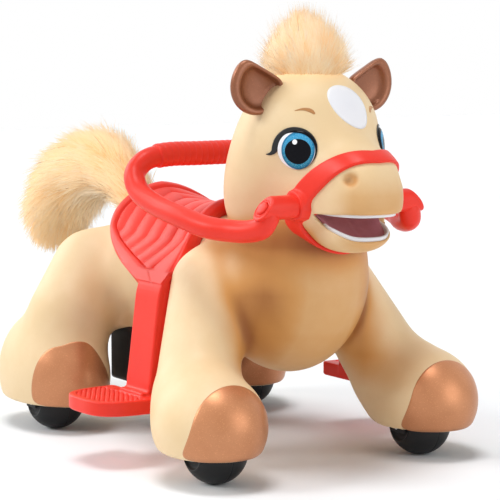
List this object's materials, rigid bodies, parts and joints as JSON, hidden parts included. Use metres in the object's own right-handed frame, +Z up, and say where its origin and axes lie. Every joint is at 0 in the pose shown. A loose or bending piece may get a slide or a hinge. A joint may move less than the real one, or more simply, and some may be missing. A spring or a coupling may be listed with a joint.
{
  "type": "ride-on pony",
  "caption": "Battery ride-on toy pony: tan moulded body with splayed legs on ball wheels, red saddle with footrests, hinged rein hoop with buttons, plush mane and tail.",
  "frame": {"origin": "on the floor under the middle of the whole pony, tail included", "axes": "+X forward to the muzzle, +Y to the pony's left, +Z up"},
  "size_m": [1.1282, 0.656, 0.745],
  "materials": {
    "tan_shell": "satin blow-moulded",
    "tooth_white": "painted gloss",
    "tongue_mauve": "painted satin",
    "eye_gloss": "clear domed gloss over glitter print",
    "copper_brown": "metallic satin",
    "plush": "long-pile plush",
    "red_moulding": "fine-grained satin",
    "steel": "bright",
    "black_plastic": "satin",
    "board_green": "lacquered",
    "switch_red": "gloss"
  },
  "bodies": {
    "pony": {"torso_shell": "tan_shell", "front_leg_left": "tan_shell", "front_leg_right": "tan_shell", "rear_leg_left": "tan_shell", "rear_leg_right": "tan_shell", "head_shell": "tan_shell", "lower_jaw": "tan_shell", "upper_teeth": "tooth_white", "lower_teeth": "tooth_white", "tongue": "tongue_mauve", "eye_left": "eye_gloss", "eye_right": "eye_gloss", "ear_left": "copper_brown", "ear_right": "copper_brown", "mane": "plush", "tail": "plush", "hoof_front_left": "copper_brown", "hoof_front_right": "copper_brown", "hoof_rear_left": "copper_brown", "hoof_rear_right": "copper_brown", "saddle_frame": "red_moulding", "saddle_pad": "red_moulding", "stirrup_left": "red_moulding", "stirrup_right": "red_moulding", "nose_band": "red_moulding", "chin_strap": "red_moulding", "bridle_boss_left": "red_moulding", "bridle_boss_right": "red_moulding", "hinge_pin_left": "steel", "hinge_pin_right": "steel", "caster_plate_left": "black_plastic", "caster_plate_right": "black_plastic", "drive_plate_left": "black_plastic", "drive_plate_right": "black_plastic", "gearbox_left": "black_plastic", "gearbox_right": "black_plastic", "drive_motor_left": "steel", "drive_motor_right": "steel", "belly_tray": "black_plastic", "battery": "black_plastic", "control_board": "board_green", "speaker": "black_plastic", "plate_screws": "steel"},
    "reins": {"rein_hoop": "red_moulding", "rein_grip": "red_moulding", "rein_hub_left": "red_moulding", "rein_hub_right": "red_moulding"},
    "button_left": {"rein_button_left": "red_moulding"},
    "button_right": {"rein_button_right": "red_moulding"},
    "caster_left": {"caster_fork_left": "black_plastic", "front_axle_left": "steel"},
    "caster_right": {"caster_fork_right": "black_plastic", "front_axle_right": "steel"},
    "front_wheel_left": {"front_wheel_left": "black_plastic"},
    "front_wheel_right": {"front_wheel_right": "black_plastic"},
    "rear_wheel_left": {"rear_wheel_left": "black_plastic", "rear_axle_left": "steel"},
    "rear_wheel_right": {"rear_wheel_right": "black_plastic", "rear_axle_right": "steel"},
    "switch": {"power_switch": "switch_red"}
  },
  "joints": [
    {"name": "rein_lift", "type": "hinge", "parent": "pony", "child": "reins", "pos_m": [0.43808, 0, 0.439], "axis": [0, 1, 0], "range_deg": [0, 25]},
    {"name": "button_left_press", "type": "slide", "parent": "reins", "child": "button_left", "axis": [0, -0.7986, -0.6018], "range_m": [0, 0.003], "stiffness_N_per_m": 300, "springref_m": -0.001},
    {"name": "caster_left_swivel", "type": "hinge", "parent": "pony", "child": "caster_left", "pos_m": [0.39508, 0.205, 0.109], "axis": [0, 0, 1], "continuous": true},
    {"name": "front_wheel_left_spin", "type": "hinge", "parent": "caster_left", "child": "front_wheel_left", "pos_m": [0.38708, 0.205, 0.052], "axis": [0, 1, 0], "continuous": true},
    {"name": "rear_wheel_left_spin", "type": "hinge", "parent": "pony", "child": "rear_wheel_left", "pos_m": [-0.14692, 0.206, 0.052], "axis": [0, 1, 0], "continuous": true},
    {"name": "button_right_press", "type": "slide", "parent": "reins", "child": "button_right", "axis": [0, 0.7986, -0.6018], "range_m": [0, 0.003], "stiffness_N_per_m": 300, "springref_m": -0.001},
    {"name": "caster_right_swivel", "type": "hinge", "parent": "pony", "child": "caster_right", "pos_m": [0.39508, -0.205, 0.109], "axis": [0, 0, 1], "continuous": true},
    {"name": "front_wheel_right_spin", "type": "hinge", "parent": "caster_right", "child": "front_wheel_right", "pos_m": [0.38708, -0.205, 0.052], "axis": [0, 1, 0], "continuous": true},
    {"name": "rear_wheel_right_spin", "type": "hinge", "parent": "pony", "child": "rear_wheel_right", "pos_m": [-0.14692, -0.206, 0.052], "axis": [0, 1, 0], "continuous": true},
    {"name": "switch_rock", "type": "hinge", "parent": "pony", "child": "switch", "pos_m": [-0.04092, -0.044, 0.081], "axis": [0, -1, 0], "range_deg": [0, 12]}
  ]
}
